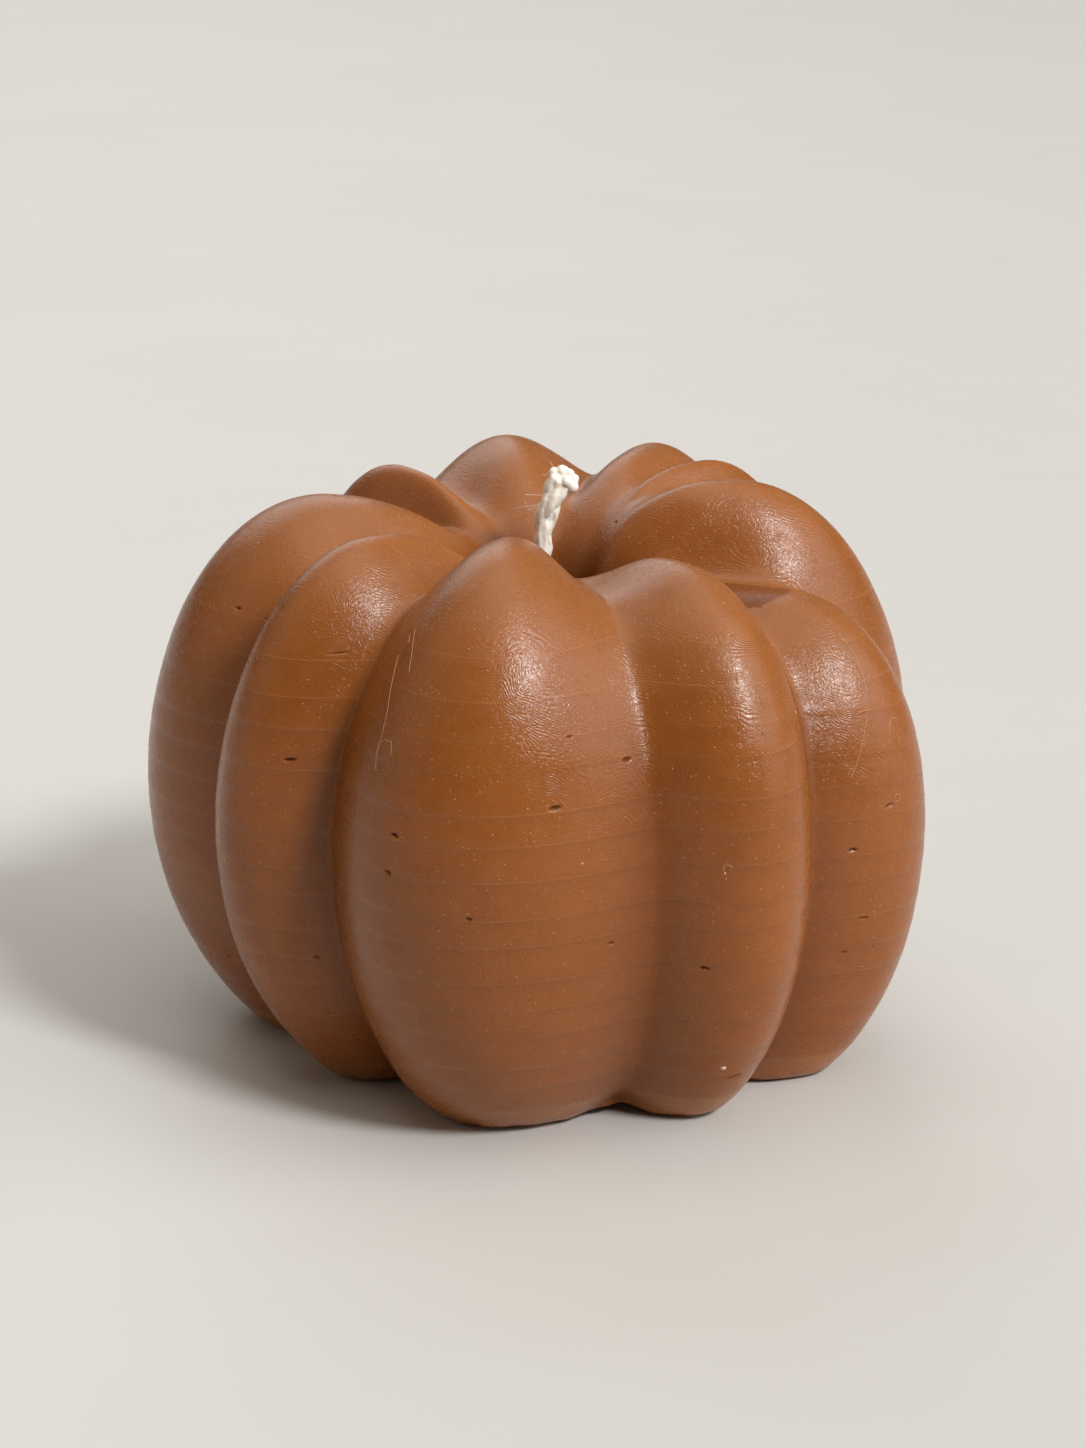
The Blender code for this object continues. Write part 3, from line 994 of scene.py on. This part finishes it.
def wax_material():
    s = Shader("caramel_wax")
    cloud = s.noise(90.0, 3.0, 0.55)
    mottle = s.noise(420.0, 4.0, 0.6)
    base = s.mix(s.ramp(cloud, 0.3, 0.7), WAX_COLOURS["deep"], WAX_COLOURS["plain"])
    base = s.mix(s.ramp(mottle, 0.35, 0.75, 0.0, 0.35), base, WAX_COLOURS["mottle"])
    speck = scattered_dots(s, SPECKS_PER_METRE, 0, (0.45, 0.75), (0.07, 0.19))
    base = s.mix(s.math("MULTIPLY", speck, 0.55), base, WAX_COLOURS["speck"])
    # Painted shade inside the pinholes, which the relief sinks
    hole = scattered_dots(s, HOLES_PER_METRE, 1, (0.9, 0.93), (0.015, 0.045))
    base = s.mix(s.math("MULTIPLY", hole, 0.75), base, WAX_COLOURS["pinhole"])
    # Painted shade inside the moulding pits
    hollow = s.attribute("hollow")
    base = s.mix(s.math("MULTIPLY", hollow, 0.8), base, WAX_COLOURS["pit"])
    # Painted shade: darker colour just under each level line, where the step above overhangs
    past_line = s.math("FRACT", s.attribute("line"))
    drawn = s.math("MULTIPLY", s.attribute("drawn"), s.ramp(s.noise(75.0), 0.38, 0.62, 0.3, 1.0))
    painted_step_shade = s.math("MULTIPLY", s.math("POWER", past_line, 1.5), drawn)
    base = s.mix(s.math("MULTIPLY", painted_step_shade, STEP_SHADE_SHARE), base, WAX_COLOURS["painted_step_shade"])
    # Painted highlight: a thin paler line on the lip just above each level line
    edge = s.math("MULTIPLY", s.ramp(past_line, 0.0, 0.05, 1.0, 0.0), drawn)
    base = s.mix(s.math("MULTIPLY", edge, 0.5), base, WAX_COLOURS["line"])
    # Painted shade low in the well and in the grooves
    shade = s.attribute("shade")
    base = s.mix(s.math("MULTIPLY", shade, 0.9), base, WAX_COLOURS["well"])
    # Painted sheen: up-facing wax paler, where the overhead light's broad reflection falls, but not in
    # the painted shade
    normal = s.tree.nodes.new("ShaderNodeTexCoord").outputs["Normal"]
    upward = s.add("ShaderNodeSeparateXYZ", Vector=normal).outputs["Z"]
    open_wax = s.ramp(shade, 0.0, 0.5, 1.0, 0.0)
    painted_sheen = s.math("MULTIPLY", s.ramp(upward, 0.25, 0.9, 0.0, 0.26), open_wax)
    base = s.mix(painted_sheen, base, WAX_COLOURS["painted_sheen"])
    s.put(s.main.inputs["Base Color"], base)
    s.put(s.main.inputs["Roughness"], s.ramp(mottle, 0.3, 0.7, 0.24, 0.31))
    s.main.inputs["IOR"].default_value = 1.44
    dull = s.math("MAXIMUM", shade, hollow)
    s.put(s.main.inputs["Specular IOR Level"], s.ramp(dull, 0.2, 0.9, 0.46, 0.15))
    s.main.inputs["Subsurface Weight"].default_value = 0.3
    s.main.inputs["Subsurface Radius"].default_value = (1.0, 0.32, 0.14)
    s.main.inputs["Subsurface Scale"].default_value = 2.2 * MM
    steps = s.math("MULTIPLY", past_line, drawn)
    s.put(s.main.inputs["Normal"], wax_relief(s, steps, speck, hole))
    return s.material


def cotton_material():
    s = Shader("waxed_cotton")
    stretch = s.add("ShaderNodeMapping", Vector=s.place)
    stretch.inputs["Scale"].default_value = (1.0, 1.0, 0.18)
    strands = s.noise(5200.0, 3.0, 0.6, stretch.outputs["Vector"])
    cloud = s.noise(700.0, 2.0, 0.5)
    base = s.mix(s.ramp(cloud, 0.3, 0.7), (0.86, 0.82, 0.75, 1.0), (0.92, 0.89, 0.83, 1.0))
    # Painted shade: darker colour in the low places of the strand relief, between the fibres
    base = s.mix(s.ramp(strands, 0.35, 0.6, 0.45, 0.0), base, (0.74, 0.66, 0.54, 1.0))
    s.put(s.main.inputs["Base Color"], base)
    s.put(s.main.inputs["Roughness"], s.ramp(strands, 0.3, 0.7, 0.62, 0.5))
    s.main.inputs["IOR"].default_value = 1.44
    s.main.inputs["Subsurface Weight"].default_value = 0.25
    s.main.inputs["Subsurface Radius"].default_value = (1.0, 0.8, 0.6)
    s.main.inputs["Subsurface Scale"].default_value = 0.5 * MM
    s.put(s.main.inputs["Normal"], s.bump(strands, 0.06 * MM))
    return s.material


def plain_wax_material(name, colour):
    s = Shader(name)
    s.main.inputs["Base Color"].default_value = colour
    s.main.inputs["Roughness"].default_value = 0.4
    return s.material


def floor_material():
    s = Shader("pale_table")
    stretch = s.add("ShaderNodeMapping", Vector=s.place)
    stretch.inputs["Scale"].default_value = (0.45, 1.0, 1.0)
    stretch.inputs["Rotation"].default_value = (0.0, 0.0, math.radians(6.0))
    grain = s.noise(60.0, 5.0, 0.6, stretch.outputs["Vector"])
    cloud = s.noise(9.0, 2.0, 0.5)
    base = s.mix(s.ramp(cloud, 0.3, 0.7), (0.58, 0.572, 0.553, 1.0), (0.59, 0.582, 0.563, 1.0))
    base = s.mix(s.ramp(grain, 0.35, 0.65, 0.0, 0.12), base, (0.57, 0.545, 0.50, 1.0))
    s.put(s.main.inputs["Base Color"], base)
    s.main.inputs["Roughness"].default_value = 0.6
    s.put(s.main.inputs["Normal"], s.bump(grain, 0.05 * MM))
    return s.material


def direction(azimuth, elevation):
    """Unit vector from the candle towards an azimuth, 0 at the camera and 90 at +X."""
    a = math.radians(azimuth)
    e = math.radians(elevation)
    return Vector((math.sin(a) * math.cos(e), -math.cos(a) * math.cos(e), math.sin(e)))


def aim(item, target):
    item.rotation_euler = (target - item.location).to_track_quat("-Z", "Y").to_euler()


def make_floor():
    bpy.ops.mesh.primitive_plane_add(size=FLOOR_SIZE, location=(0.0, 0.0, 0.0))
    floor = bpy.context.object
    floor.name = "floor"
    floor.data.materials.append(floor_material())


def make_lights():
    scene = bpy.context.scene
    data = bpy.data.lights.new("key", "SUN")
    data.energy = KEY_STRENGTH
    data.angle = math.radians(KEY_SPREAD)
    data.color = KEY_COLOUR
    key = bpy.data.objects.new("key", data)
    key.location = direction(KEY_AZIMUTH, KEY_ELEVATION)
    aim(key, Vector((0.0, 0.0, 0.0)))
    scene.collection.objects.link(key)
    for name, (azimuth, elevation, distance, size, power, colour) in SOFTBOXES.items():
        data = bpy.data.lights.new(name, "AREA")
        data.shape = "SQUARE"
        data.size = size
        data.energy = power
        data.color = colour
        box = bpy.data.objects.new(name, data)
        box.location = direction(azimuth, elevation) * distance
        aim(box, Vector((0.0, 0.0, 0.0)))
        scene.collection.objects.link(box)
    world = bpy.data.worlds.new("studio")
    world.use_nodes = True
    background = world.node_tree.nodes["Background"]
    background.inputs["Color"].default_value = WORLD_COLOUR
    background.inputs["Strength"].default_value = WORLD_STRENGTH
    scene.world = world


def make_camera():
    data = bpy.data.cameras.new("camera")
    data.lens = LENS
    data.sensor_width = SENSOR
    data.sensor_fit = "AUTO"
    data.clip_start = 0.01
    camera = bpy.data.objects.new("camera", data)
    target = Vector(CAMERA_TARGET) * MM
    camera.location = target + direction(0.0, CAMERA_ELEVATION) * CAMERA_DISTANCE * MM
    aim(camera, target)
    bpy.context.scene.collection.objects.link(camera)
    bpy.context.scene.camera = camera


make_camera()
make_lights()
make_floor()
bpy.context.scene.view_settings.view_transform = "Standard"

wax = casting_mesh(wax_material())
mark_flaws(wax)
cotton = cotton_material()
plait = wick_mesh(cotton)
fibres = wick_fibres(cotton)
crumbs = wax_crumbs(wax, plain_wax_material("pale_wax", WAX_COLOURS["crumb"]))
threads = wax_threads(wax, plain_wax_material("thread_wax", WAX_COLOURS["thread"]))

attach(wax, "root")
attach(plait, "root")
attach(fibres, "root")
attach(crumbs, "root")
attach(threads, "root")
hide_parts("wax_body")
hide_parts("wick")
